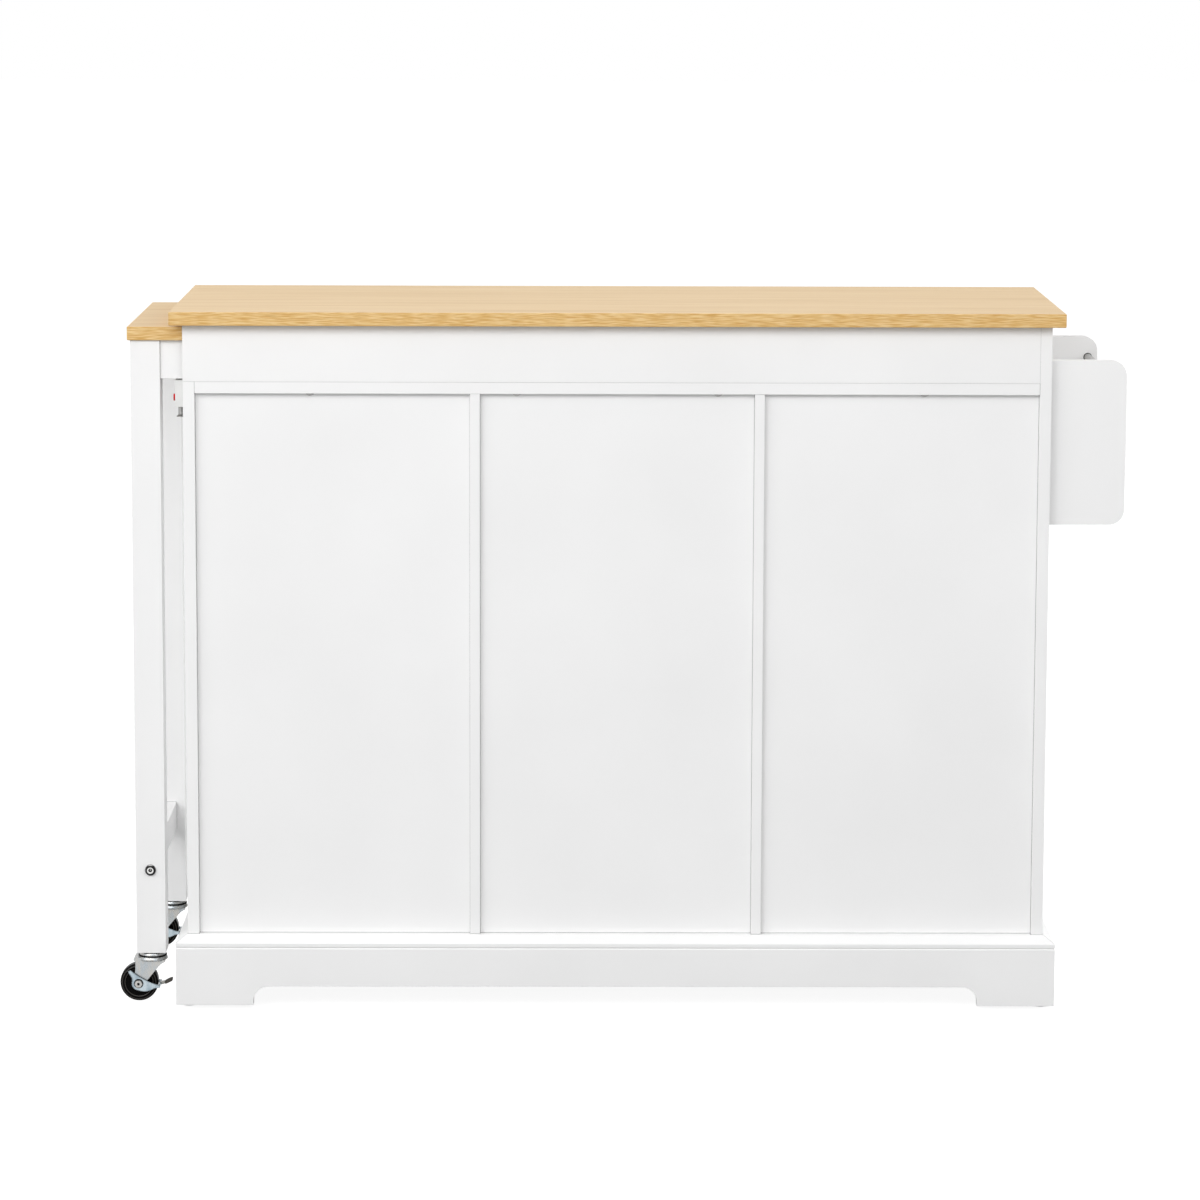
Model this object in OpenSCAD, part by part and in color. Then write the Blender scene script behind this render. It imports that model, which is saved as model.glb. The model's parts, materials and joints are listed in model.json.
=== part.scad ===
// Kitchen island on a moulded plinth: worktop, two cupboards, three drawers,
// a side rack and an extension table on two braked casters that slides out of one end.
// Millimetres, +Z up. The doors and drawers face -Y and the plain back faces +Y.
// Left and right are as seen from the front: the rack is at -X, the table comes out at +X.

/* [Worktop] */
// Length of the worktop
top_len = 1150; // [1130:5:1170]
// Depth of the worktop
top_depth = 400; // [396:1:410]
// Thickness of the worktop and of the table top
top_thick = 18; // [16:1:20]
// Height of the worktop's upper face above the floor
total_height = 915; // [905:1:925]
// Overhang of the worktop at its ends and back
overhang = 16; // [13:1:18]
// Overhang of the worktop over the front apron
front_overhang = 3; // [2:1:6]
// Width of the eased edge round both tops
top_ease = 0.8; // [0.4:0.1:1.2]

/* [Carcass] */
// Thickness of the carcass, plinth and front boards
board = 15; // [14:1:16]
// Thickness of the two dividers
divider_thick = 13; // [12:1:15]
// Thickness of the back panels
panel_thick = 5; // [4:1:6]
// Depth of the back panels behind the board edges
panel_recess = 8; // [6:1:10]
// Clear height of the pocket that the table slides in
pocket_height = 73.5; // [73.5:0.5:78]
// Height of the shelves above the deck
shelf_lift = 342; // [280:2:420]
// Width of the curved clips under the rail at the back
clip_width = 11; // [9:1:13]
// How far the clips reach below the rail
clip_drop = 3; // [2:0.5:4]
// Distance of the outer clips from the middle
clip_far = 396; // [380:2:410]
// Distance of the inner clips from the middle
clip_near = 130; // [110:2:150]

/* [Plinth] */
// Height of the plinth's top edge above the floor
plinth_top = 98; // [94:1:104]
// Height of the feet's glides
glide_height = 6; // [4:1:8]
// Height of the arch cut into the plinth boards
arch_height = 25; // [22:1:30]
// Width of the plinth's corner feet
foot_width = 101; // [90:1:115]
// Radius of the arch's upper corners
arch_radius = 20; // [14:1:21]

/* [Fronts] */
// Gap between neighbouring fronts
front_gap = 3; // [2:0.5:4]
// Gap between a closed front and the carcass
front_seat = 0.6; // [0.4:0.1:1]
// Height of the top drawer's front
top_drawer_height = 180; // [160:5:220]
// Depth of the recessed field in a front
field_depth = 4; // [2:0.5:5]
// Width of the frame round the field of a door
door_frame = 58; // [45:1:70]
// Width of the frame round the field of a drawer front
drawer_frame = 38; // [30:1:45]
// Projection of the knobs
knob_out = 24; // [20:1:28]
// Diameter of the knobs
knob_dia = 28; // [24:1:32]

/* [Rack] */
// Projection of the rack plates from the side
rack_out = 98.5; // [90:0.5:110]
// Height of the rack plates
rack_height = 214; // [190:2:230]
// Distance from the worktop's upper face down to the rack plates
rack_drop = 63; // [55:1:75]
// Radius of the rack plates' outer corners
rack_corner = 20; // [14:1:24]
// Diameter of the rack's rods
rod_dia = 10; // [8:1:12]

/* [Extension table] */
// Length of the table top
table_len = 1000; // [940:10:1030]
// Length of table top that shows beyond the closed worktop
table_show = 56.6; // [56.6:0.2:62]
// Gap between the table top and the worktop
table_gap = 4; // [2.5:0.5:5]
// Side play of the table in its pocket
side_play = 1.5; // [1:0.25:3]
// Height of the table's rails
rail_height = 50; // [44:0.5:50]
// Side of the square legs
leg_side = 38; // [34:1:40]
// Distance from the table top's edges in to the legs
leg_inset = 4; // [2:0.5:5]
// Height of the stretcher above the floor
stretcher_lift = 169; // [140:1:200]
// Height of the stretcher board
stretcher_height = 38; // [32:1:45]
// Travel of the table
table_travel = 600; // [500:10:620]

/* [Casters] */
// Diameter of the caster wheels
wheel_dia = 50; // [46:1:52]
// Width of the caster wheels
wheel_width = 20; // [18:1:21]
// Overall height of a caster
caster_height = 67; // [66:0.5:72]
// Distance from the swivel axis to the wheel axle
caster_trail = 17.5; // [15:0.5:18]
// Diameter of the swivel's raceway ring
ring_dia = 39.4; // [38:0.2:42]

/* [Hidden] */
$fn = 96;
touch = 0.01;
run_fit = 0.05;
slide_fit = 0.3;

// heights
top_z = total_height - top_thick;
pocket_z = top_z - pocket_height;
rail_z = pocket_z - board;
deck_z = plinth_top - board;
fronts_z0 = plinth_top + front_gap;
fronts_z1 = rail_z - front_seat;

// plan
body_x = top_len / 2 - overhang;
inner_x = body_x - board;
back_y = top_depth / 2 - overhang;
apron_face_y = -(top_depth / 2 - front_overhang);
carcass_y = apron_face_y + board;
seat_y = carcass_y - front_seat;
face_y = seat_y - board;
panel_y = back_y - panel_recess;
bay_width = (2 * inner_x - 2 * divider_thick) / 3;
divider_x = bay_width / 2;
divider_mid_x = divider_x + divider_thick / 2;
plinth_x = body_x + board;
plinth_back_y = back_y + board;
plinth_front_y = carcass_y - board;
plinth_depth = plinth_back_y - plinth_front_y;
plinth_mid_y = (plinth_back_y + plinth_front_y) / 2;

// doors and drawers
door_x1 = divider_mid_x + front_gap / 2;
drawer_half = divider_mid_x - front_gap / 2;
low_drawer_height = (fronts_z1 - fronts_z0 - top_drawer_height - 2 * front_gap) / 2;
drawer_base = [
    fronts_z1 - top_drawer_height,
    fronts_z0 + low_drawer_height + front_gap,
    fronts_z0
];
drawer_height = [top_drawer_height, low_drawer_height, low_drawer_height];
drawer_side_gap = 1;
drawer_side = 12;
drawer_bottom = 5;
joint_gap = 0.1;
drawer_back_y = 150;
drawer_headroom = 34;
drawer_lift = 14;
runner_out = 8;
runner_height = 12;
runner_lift = 46;
runner_back_y = 140;

// hinges
pin_off = 4;
pin_y = (carcass_y + seat_y) / 2;
knuckle_r = 3.5;
pin_r = 1.5;
hinge_height = 60;
hinge_leaf = 1.5;
hinge_reach = 12;
hinge_inset = 90;

// table
table_z1 = top_z - table_gap;
table_z0 = table_z1 - top_thick;
table_rail_z = table_z0 - rail_height;
table_x1 = top_len / 2 + table_show;
table_x0 = table_x1 - table_len;
table_y0 = carcass_y + side_play;
table_y1 = back_y - board - side_play;
leg_x1 = table_x1 - leg_inset + 0.4;
leg_x0 = leg_x1 - leg_side;
leg_mid_x = (leg_x0 + leg_x1) / 2;
leg_back_y = table_y1 - leg_inset - leg_side / 2;
leg_front_y = table_y0 + leg_inset + leg_side / 2;
rail_set = 3;
bolt_z = stretcher_lift + 9.5;
bolt_head_r = 6.6;
bolt_head = 4;
bolt_r = 3;
stem_r = 5;
stem_height = 30;

// latch on the right-hand side panel
latch_y = table_y1 - leg_inset - rail_set - board / 2;
latch_out = 11.5;
latch_width = 23;
latch_height = 34.5;
latch_top = pocket_z - slide_fit;
button_r = 4.5;
button_out = 2.8;
button_press = 2;
button_seat = 0.7;
button_z = latch_top - 23;
plunger_r = 2.8;
plunger_off = 5.5;
plunger_tip = 0.9;
plunger_drop = 14;
pull_r = 5.2;

// rack
rack_z1 = total_height - rack_drop;
rack_z0 = rack_z1 - rack_height;
rack_x0 = -(body_x + rack_out);
rack_back_y = back_y - 14.5;
rack_front_y = carcass_y + 14.5;
rod_inset = 13;
rod_drop = 28.5;
rod_socket = 8;
guard_lift = 58;
rack_shelf_lift = 8;
rack_shelf_thick = 12;
rack_shelf_inset = 14;

// the shared frame: middle of the whole outline, on the floor
right_end = leg_mid_x + caster_trail + wheel_dia / 2;
knob_y = face_y - knob_out;
mid_x = (right_end + rack_x0) / 2;
mid_y = (top_depth / 2 + knob_y) / 2;

white_board = [0.93, 0.93, 0.92];
oak = [0.9, 0.76, 0.54];
steel = [0.72, 0.73, 0.74];
zinc = [0.78, 0.8, 0.82];
black = [0.05, 0.05, 0.05];
nylon = [0.85, 0.85, 0.83];
red = [0.75, 0.06, 0.05];

// moves cabinet coordinates (worktop centre, floor) to the shared frame
module framed() {
    translate([-mid_x, -mid_y, 0]) children();
}

// board between two opposite corners
module span(lo, hi) {
    translate(lo) cube(hi - lo);
}

// flat top with its upper and lower edges eased
module eased_top(lo, hi, ease) {
    intersection() {
        translate([0, hi[1], 0]) rotate([90, 0, 0]) linear_extrude(hi[1] - lo[1])
            eased_rect(lo[0], lo[2], hi[0], hi[2], ease);
        translate([lo[0], 0, 0]) rotate([90, 0, 90]) linear_extrude(hi[0] - lo[0])
            eased_rect(lo[1], lo[2], hi[1], hi[2], ease);
    }
}

module eased_rect(a0, b0, a1, b1, ease) {
    polygon([
        [a0 + ease, b0], [a1 - ease, b0], [a1, b0 + ease], [a1, b1 - ease],
        [a1 - ease, b1], [a0 + ease, b1], [a0, b1 - ease], [a0, b0 + ease]
    ]);
}

module worktop() color(oak) framed()
    eased_top([-top_len / 2, -top_depth / 2, top_z], [top_len / 2, top_depth / 2, total_height], top_ease);

// side panel between two X positions; its foot is cut by the same arch as the plinth's end board
module side_panel(x0, x1, z1) {
    difference() {
        span([x0, carcass_y, glide_height], [x1, back_y, z1]);
        translate([x0 - 1, plinth_mid_y, 0]) rotate([90, 0, 90]) linear_extrude(x1 - x0 + 2)
            arch(plinth_depth / 2 - foot_width);
    }
}

module side_panel_left() color(white_board) framed() side_panel(-body_x, -inner_x, top_z);

module side_panel_right() color(white_board) framed() side_panel(inner_x, body_x, pocket_z);

module divider(side) {
    middle = side * divider_mid_x;
    span([middle - divider_thick / 2, carcass_y, plinth_top], [middle + divider_thick / 2, back_y, rail_z]);
}

module divider_left() color(white_board) framed() divider(-1);

module divider_right() color(white_board) framed() divider(1);

module deck_board() color(white_board) framed()
    span([-inner_x, carcass_y, deck_z], [inner_x, back_y, plinth_top]);

module pocket_floor() color(white_board) framed()
    span([-inner_x, carcass_y, rail_z], [inner_x, back_y, pocket_z]);

module rear_apron() color(white_board) framed()
    span([-inner_x, back_y - board, pocket_z], [body_x, back_y, top_z]);

module front_apron() color(white_board) framed()
    span([-body_x, apron_face_y, fronts_z1 + front_gap], [body_x, carcass_y, top_z]);

module back_panel(bay) {
    middle = bay * (bay_width + divider_thick);
    span(
        [middle - bay_width / 2, panel_y - panel_thick, plinth_top],
        [middle + bay_width / 2, panel_y, rail_z]
    );
}

module back_panel_left() color(white_board) framed() back_panel(-1);

module back_panel_middle() color(white_board) framed() back_panel(0);

module back_panel_right() color(white_board) framed() back_panel(1);

// section of a plinth board: flat face, fine groove, small band and a sloping top
module plinth_profile() {
    groove_z = plinth_top - 17;
    groove = 1;
    band_z = plinth_top - 9.5;
    top_land = 2;
    polygon([
        [-board, glide_height], [0, glide_height], [0, groove_z], [-groove, groove_z + groove],
        [-groove, groove_z + 1.6 * groove], [0, groove_z + 2.6 * groove], [0, band_z],
        [top_land - board, plinth_top], [-board, plinth_top]
    ]);
}

// opening under a plinth board, with rounded upper corners
module arch(half) {
    crown = glide_height + arch_height;
    shoulder = crown - arch_radius;
    translate([-half, -board]) square([2 * half, board + shoulder]);
    translate([arch_radius - half, 0]) square([2 * (half - arch_radius), crown]);
    for (side = [-1, 1])
        translate([side * (half - arch_radius), shoulder]) circle(arch_radius);
}

// mitred board along X with its outer face at y = 0
module plinth_board(len) {
    difference() {
        intersection() {
            translate([-len / 2, 0, 0]) rotate([90, 0, 90]) linear_extrude(len) plinth_profile();
            linear_extrude(plinth_top + board) polygon([
                [-len / 2, 0], [len / 2, 0], [len / 2 - board, -board], [board - len / 2, -board]
            ]);
        }
        translate([0, board, 0]) rotate([90, 0, 0]) linear_extrude(3 * board) arch(len / 2 - foot_width);
    }
}

module plinth_back() color(white_board) framed()
    translate([0, plinth_back_y, 0]) plinth_board(2 * plinth_x);

module plinth_front() color(white_board) framed()
    translate([0, plinth_front_y, 0]) rotate([0, 0, 180]) plinth_board(2 * plinth_x);

module plinth_left() color(white_board) framed()
    translate([-plinth_x, plinth_mid_y, 0]) rotate([0, 0, 90]) plinth_board(plinth_depth);

module plinth_right() color(white_board) framed()
    translate([plinth_x, plinth_mid_y, 0]) rotate([0, 0, -90]) plinth_board(plinth_depth);

// four glides under the corner feet
module floor_glides() color(nylon) framed() {
    glide_r = 12;
    glide_set = 18;
    for (x = [-body_x, body_x])
        for (y = [carcass_y + glide_set, back_y - glide_set])
            translate([x, y, 0]) cylinder(h = glide_height, r = glide_r);
}

shelf_play = 0.5;
shelf_z = plinth_top + shelf_lift;
shelf_set = 12;

module shelf(side) {
    middle = side * (bay_width + divider_thick);
    half = bay_width / 2 - shelf_play;
    span(
        [middle - half, carcass_y + shelf_set, shelf_z],
        [middle + half, panel_y - panel_thick - 1, shelf_z + board]
    );
}

module shelf_left() color(white_board) framed() shelf(-1);

module shelf_right() color(white_board) framed() shelf(1);

// angle support that stands on the wall at x = 0 and carries the shelf above it
module shelf_support() {
    wall = 1.5;
    reach = 8;
    width = 8;
    height = 11;
    span([0, -width / 2, -height], [wall, width / 2, 0]);
    span([0, -width / 2, -wall], [reach, width / 2, 0]);
}

// low clip with a curved lower edge, between the back panel and the rail
module panel_clip() {
    clip_thick = 1.5;
    clip_r = (clip_width * clip_width / 4 + clip_drop * clip_drop) / (2 * clip_drop);
    difference() {
        translate([0, clip_thick, clip_r - clip_drop]) rotate([90, 0, 0])
            cylinder(h = clip_thick, r = clip_r);
        translate([-2 * clip_r, -clip_r, 0]) cube([4 * clip_r, 2 * clip_r, 2 * clip_r]);
    }
}

// domed screw head that stands on the wall at x = 0
module screw_head() {
    head_r = 4.5;
    head = 2.4;
    rotate([0, 90, 0]) rotate_extrude() polygon([
        [0, 0], [head_r, 0], [head_r, head * 0.45], [head_r * 0.7, head], [0, head]
    ]);
}

// shelf supports, panel clips and the screws that hold the rack plates
module cabinet_fixings() color(steel) framed() {
    support_y = [carcass_y + 50, back_y - 60];
    for (side = [-1, 1]) {
        middle = side * (bay_width + divider_thick);
        for (y = support_y) {
            translate([middle - bay_width / 2, y, shelf_z]) shelf_support();
            translate([middle + bay_width / 2, y, shelf_z]) mirror([1, 0, 0]) shelf_support();
        }
    }
    for (x = [-clip_far, -clip_near, clip_near, clip_far])
        translate([x, panel_y, rail_z]) panel_clip();
    for (y = [rack_back_y - board / 2, rack_front_y + board / 2])
        for (z = [rack_z0 + 40, rack_z0 + 120])
            translate([-inner_x, y, z]) screw_head();
}

stop_x = table_x0 + board + table_travel + slide_fit;

// two slide strips on the pocket floor and the end stop for the table
module table_guides() color(nylon) framed() {
    strip = table_rail_z - pocket_z - slide_fit;
    strip_half = 6;
    stop_height = 20;
    for (y = [table_y1 - leg_inset - rail_set - board / 2, table_y0 + leg_inset + rail_set + board / 2])
        span(
            [board - inner_x, y - strip_half, pocket_z],
            [inner_x - board, y + strip_half, pocket_z + strip]
        );
    span([stop_x, -110, pocket_z], [stop_x + board, 110, pocket_z + stop_height]);
}

// hardwood strips that the drawer sides run on
module drawer_runners() color(oak) framed() {
    for (z = drawer_base)
        for (side = [-1, 1])
            on_side(side) span(
                [divider_x - runner_out, carcass_y + 5, z + runner_lift],
                [divider_x, runner_back_y, z + runner_lift + runner_height]
            );
}

module on_side(side) {
    if (side > 0) children();
    else mirror([1, 0, 0]) children();
}

// rack plate in the XZ plane, thickness along +Y
module rack_plate() {
    translate([0, board, 0]) rotate([90, 0, 0]) linear_extrude(board) difference() {
        union() {
            translate([rack_x0 + rack_corner, rack_z0]) square([rack_out - rack_corner, rack_height]);
            translate([rack_x0, rack_z0 + rack_corner]) square([rack_out, rack_height - 2 * rack_corner]);
            for (z = [rack_z0 + rack_corner, rack_z1 - rack_corner])
                translate([rack_x0 + rack_corner, z]) circle(rack_corner);
        }
        translate([-body_x, rack_z0 - board]) square([board, rack_height + 2 * board]);
    }
}

rod_x = rack_x0 + rod_inset;
rod_heights = [rack_z1 - rod_drop, rack_z0 + guard_lift];

module rod_holes(y0, y1) {
    for (z = rod_heights)
        translate([rod_x, y1, z]) rotate([90, 0, 0]) cylinder(h = y1 - y0, r = rod_dia / 2 + run_fit);
}

module rack_plate_back() color(white_board) framed() difference() {
    translate([0, rack_back_y - board, 0]) rack_plate();
    rod_holes(rack_back_y - board - touch, rack_back_y - board + rod_socket);
}

module rack_plate_front() color(white_board) framed() difference() {
    translate([0, rack_front_y, 0]) rack_plate();
    rod_holes(rack_front_y + board - rod_socket, rack_front_y + board + touch);
}

// towel rod at the top and guard rod at the bottom
module rack_rods() color(steel) framed() {
    y0 = rack_front_y + board - rod_socket + slide_fit;
    y1 = rack_back_y - board + rod_socket - slide_fit;
    for (z = rod_heights)
        translate([rod_x, y1, z]) rotate([90, 0, 0]) cylinder(h = y1 - y0, d = rod_dia);
}

module rack_shelf() color(white_board) framed()
    span(
        [rack_x0 + rack_shelf_inset, rack_front_y + board, rack_z0 + rack_shelf_lift],
        [-body_x, rack_back_y - board, rack_z0 + rack_shelf_lift + rack_shelf_thick]
    );

knuckle = hinge_height / 3;

// hinge half on the cabinet: pin axis on Z at the origin, side panel face at x = pin_off
module cabinet_leaf() {
    difference() {
        union() {
            span([pin_off - hinge_leaf, slide_fit, 0], [pin_off, hinge_reach, hinge_height]);
            cylinder(h = knuckle - slide_fit / 2, r = knuckle_r);
            translate([0, 0, 2 * knuckle + slide_fit / 2])
                cylinder(h = knuckle - slide_fit / 2, r = knuckle_r);
        }
        translate([0, 0, knuckle - slide_fit / 2])
            cylinder(h = knuckle + slide_fit, r = knuckle_r + slide_fit);
    }
    translate([0, 0, -1]) cylinder(h = hinge_height + 2, r = pin_r);
}

// hinge half on the door edge
module door_leaf() {
    end = knuckle - slide_fit;
    difference() {
        union() {
            span(
                [pin_off - hinge_leaf, pin_y - seat_y - hinge_reach, 0],
                [pin_off, -slide_fit, hinge_height]
            );
            translate([0, 0, knuckle + slide_fit / 2]) cylinder(h = knuckle - slide_fit, r = knuckle_r);
        }
        for (z = [-slide_fit, 2 * knuckle - slide_fit / 2])
            translate([0, 0, z]) cylinder(h = knuckle + 1.5 * slide_fit, r = knuckle_r + slide_fit);
        cylinder(h = hinge_height, r = pin_r + run_fit);
    }
}

module at_hinges(side) {
    for (z = [fronts_z0 + hinge_inset - hinge_height / 2, fronts_z1 - hinge_inset - hinge_height / 2])
        on_side(-side) translate([-(body_x + pin_off), pin_y, z]) children();
}

module hinge_plates() color(steel) framed() {
    at_hinges(-1) cabinet_leaf();
    at_hinges(1) cabinet_leaf();
}

module door_left_hinges() color(steel) framed() at_hinges(-1) door_leaf();

module door_right_hinges() color(steel) framed() at_hinges(1) door_leaf();

// front board with a recessed field, between two corners of its face
module framed_front(x0, z0, x1, z1, frame) {
    difference() {
        span([x0, face_y, z0], [x1, seat_y, z1]);
        span([x0 + frame, face_y - 1, z0 + frame], [x1 - frame, face_y + field_depth, z1 - frame]);
    }
}

module door_left() color(white_board) framed()
    framed_front(-body_x, fronts_z0, -door_x1, fronts_z1, door_frame);

module door_right() color(white_board) framed()
    framed_front(door_x1, fronts_z0, body_x, fronts_z1, door_frame);

// turned knob that stands on the face at y = 0 and points to -Y
module knob() {
    base_r = 8;
    neck_r = 5;
    head_r = knob_dia / 2;
    rotate([90, 0, 0]) rotate_extrude() polygon([
        [0, 0], [base_r, 0], [base_r, 1.5], [neck_r, 4], [neck_r, knob_out - 13],
        [head_r - 4, knob_out - 9], [head_r, knob_out - 6.5], [head_r, knob_out - 4],
        [head_r - 3, knob_out - 1.2], [head_r - 7, knob_out], [0, knob_out]
    ]);
}

door_knob_z = fronts_z1 - 150;

module door_left_knob() color(steel) framed()
    translate([-door_x1 - door_frame / 2, face_y, door_knob_z]) knob();

module door_right_knob() color(steel) framed()
    translate([door_x1 + door_frame / 2, face_y, door_knob_z]) knob();

module drawer_front(level)
    framed_front(-drawer_half, drawer_base[level], drawer_half,
        drawer_base[level] + drawer_height[level], drawer_frame);

// two grooved sides, a back and a bottom, all screwed to the front
module drawer_box(level) {
    half = divider_x - drawer_side_gap;
    z0 = drawer_base[level] + drawer_lift;
    z1 = drawer_base[level] + drawer_height[level] - drawer_headroom;
    groove_z = drawer_base[level] + runner_lift;
    groove_in = runner_out - drawer_side_gap + 0.5;
    inside = half - drawer_side - joint_gap;
    for (side = [-1, 1])
        on_side(side) difference() {
            span([half - drawer_side, seat_y, z0], [half, drawer_back_y, z1]);
            span(
                [half - groove_in, carcass_y, groove_z - 2 * slide_fit],
                [half + 1, drawer_back_y + 1, groove_z + runner_height + slide_fit / 2]
            );
        }
    span([-inside, drawer_back_y - drawer_side, z0], [inside, drawer_back_y, z1]);
    span([-inside, seat_y, z0], [inside, drawer_back_y - drawer_side - joint_gap, z0 + drawer_bottom]);
}

module drawer_knob(level)
    translate([0, face_y + field_depth, drawer_base[level] + drawer_height[level] / 2])
        field_knob();

// knob on a foot as tall as the field is deep, so that it stands as far out as on the doors
module field_knob() {
    knob_foot_r = 8;
    rotate([90, 0, 0]) cylinder(h = field_depth, r = knob_foot_r);
    translate([0, -field_depth, 0]) knob();
}

module drawer_top_front() color(white_board) framed() drawer_front(0);

module drawer_top_box() color(white_board) framed() drawer_box(0);

module drawer_top_knob() color(steel) framed() drawer_knob(0);

module drawer_middle_front() color(white_board) framed() drawer_front(1);

module drawer_middle_box() color(white_board) framed() drawer_box(1);

module drawer_middle_knob() color(steel) framed() drawer_knob(1);

module drawer_bottom_front() color(white_board) framed() drawer_front(2);

module drawer_bottom_box() color(white_board) framed() drawer_box(2);

module drawer_bottom_knob() color(steel) framed() drawer_knob(2);

plunger_x = body_x + plunger_off;

module latch_housing() color(nylon) framed() difference() {
    span([body_x, latch_y - latch_width / 2, latch_top - latch_height],
        [body_x + latch_out, latch_y + latch_width / 2, latch_top]);
    translate([plunger_x, latch_y, latch_top - latch_height - 1])
        cylinder(h = latch_height + 2, r = plunger_r + slide_fit);
    bore = button_press + button_seat + slide_fit;
    translate([body_x + latch_out - bore, latch_y, button_z]) rotate([0, 90, 0])
        cylinder(h = bore + 1, r = button_r + slide_fit);
}

module latch_button() color(red) framed()
    translate([body_x + latch_out - button_seat, latch_y, button_z]) rotate([0, 90, 0])
        cylinder(h = button_out + button_seat, r = button_r);

// plunger with a flared pull foot
module latch_plunger() color(steel) framed() translate([plunger_x, latch_y, 0]) {
    z0 = latch_top - latch_height - plunger_drop;
    rotate_extrude() polygon([
        [0, z0], [pull_r, z0], [pull_r, z0 + 1.2], [plunger_r, z0 + 3],
        [plunger_r, latch_top + plunger_tip - 0.5], [plunger_r - 0.5, latch_top + plunger_tip],
        [0, latch_top + plunger_tip]
    ]);
}

module table_top() color(oak) framed()
    eased_top([table_x0, table_y0, table_z0], [table_x1, table_y1, table_z1], top_ease);

rail_back_y = table_y1 - leg_inset - rail_set;
rail_front_y = table_y0 + leg_inset + rail_set;

module table_rail_back() color(white_board) framed()
    span([table_x0, rail_back_y - board, table_rail_z], [leg_x0, rail_back_y, table_z0]);

module table_rail_front() color(white_board) framed()
    span([table_x0, rail_front_y, table_rail_z], [leg_x0, rail_front_y + board, table_z0]);

// rail between the legs and rail at the hidden end
module table_cross_rails() color(white_board) framed() {
    span([leg_mid_x - board / 2, leg_front_y + leg_side / 2, table_rail_z],
        [leg_mid_x + board / 2, leg_back_y - leg_side / 2, table_z0]);
    span([table_x0, rail_front_y + board, table_rail_z], [table_x0 + board, rail_back_y - board, table_z0]);
}

// square leg with holes for the caster stem and the stretcher bolt
module leg(y) {
    difference() {
        span([leg_x0, y - leg_side / 2, caster_height], [leg_x1, y + leg_side / 2, table_z0]);
        translate([leg_mid_x, y, caster_height - touch])
            cylinder(h = stem_height + 1, r = stem_r + run_fit);
        translate([leg_mid_x, y + leg_side, bolt_z]) rotate([90, 0, 0])
            cylinder(h = 2 * leg_side, r = bolt_r + run_fit);
    }
}

module leg_back() color(white_board) framed() leg(leg_back_y);

module leg_front() color(white_board) framed() leg(leg_front_y);

bolt_in = 20;

module leg_stretcher() color(white_board) framed() difference() {
    y0 = leg_front_y + leg_side / 2;
    y1 = leg_back_y - leg_side / 2;
    span(
        [leg_mid_x - board / 2, y0, stretcher_lift],
        [leg_mid_x + board / 2, y1, stretcher_lift + stretcher_height]
    );
    for (y = [y0 + bolt_in + 1, y1 + touch])
        translate([leg_mid_x, y, bolt_z]) rotate([90, 0, 0])
            cylinder(h = bolt_in + 1 + touch, r = bolt_r + run_fit);
}

// socket-head bolt: head on the face at y = 0, shank along -Y
module leg_bolt() {
    socket = 2.5;
    rotate([90, 0, 0]) cylinder(h = leg_side + bolt_in, r = bolt_r);
    difference() {
        rotate([-90, 0, 0]) rotate_extrude() polygon([
            [0, 0], [bolt_head_r, 0], [bolt_head_r, bolt_head - 2.2], [bolt_head_r - 0.8, bolt_head - 1],
            [bolt_head_r - 2.2, bolt_head], [0, bolt_head]
        ]);
        translate([0, bolt_head - socket, 0]) rotate([-90, 0, 0])
            cylinder(h = socket + 1, r = socket, $fn = 6);
    }
}

module leg_bolts() color(steel) framed() {
    translate([leg_mid_x, leg_back_y + leg_side / 2, bolt_z]) leg_bolt();
    translate([leg_mid_x, leg_front_y - leg_side / 2, bolt_z]) mirror([0, 1, 0]) leg_bolt();
}

// caster: swivel axis on Z at the origin, wheel towards +X, leg end at caster_height
ring_r = ring_dia / 2;
cap_r = ring_r - 2.4;
king_r = 4;
plate_z1 = caster_height - 7;
plate_z0 = plate_z1 - 5;
cheek_in = wheel_width / 2 + 1;
cheek = 2.5;
axle_z = wheel_dia / 2;
axle_r = 3;
ear_reach = 24;
pedal_in = cheek_in + cheek + 0.5;
pedal_thick = 2;
bridge_x = -(wheel_dia / 2 + 3);
arm_reach = 42.5;
arm_width = 6;

rivet_r = 7;
rivet_head = 3;
race_gap = 0.8;

// stem, domed cap over the ball race and the riveted pin under it
module caster_stem() {
    translate([0, 0, caster_height]) cylinder(h = stem_height, r = stem_r);
    rotate_extrude() polygon([
        [0, plate_z0 - rivet_head], [rivet_r, plate_z0 - rivet_head], [rivet_r, plate_z0 - slide_fit],
        [king_r, plate_z0 - slide_fit], [king_r, plate_z1 + race_gap], [cap_r, plate_z1 + race_gap],
        [cap_r, plate_z1 + 2.6], [cap_r - 1, caster_height - 2], [cap_r - 2.6, caster_height - 1],
        [cap_r - 1.2, caster_height - 1], [cap_r - 1.2, caster_height], [0, caster_height]
    ]);
}

// outline of a fork cheek in X and Z: upright towards the wheel, hollowed away on the other side
module cheek_shape() {
    foot_r = 8;
    polygon([
        [-17.5, plate_z0 + 1], [21.6, plate_z0 + 1], [22, axle_z + 17], [caster_trail + foot_r, axle_z],
        [caster_trail - foot_r, axle_z], [-5, axle_z + 18], [-8.5, axle_z + 22.3],
        [-12, plate_z0 - 4.2], [-17.5, plate_z0 - 1]
    ]);
    translate([caster_trail, axle_z]) circle(foot_r);
}

// thickness along +Y from y0
module side_plate(y0, thick) {
    translate([0, y0 + thick, 0]) rotate([90, 0, 0]) linear_extrude(thick) children();
}

// nut with a countersunk end on the axle
module axle_end() {
    nut = 3;
    nut_r = 5.2;
    sink_r = 1.8;
    translate([0, pedal_in + pedal_thick + slide_fit, 0]) rotate([-90, 0, 0]) difference() {
        cylinder(h = nut, r = nut_r, $fn = 6);
        translate([0, 0, nut - 1]) cylinder(h = 2, r = sink_r);
    }
}

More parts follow.
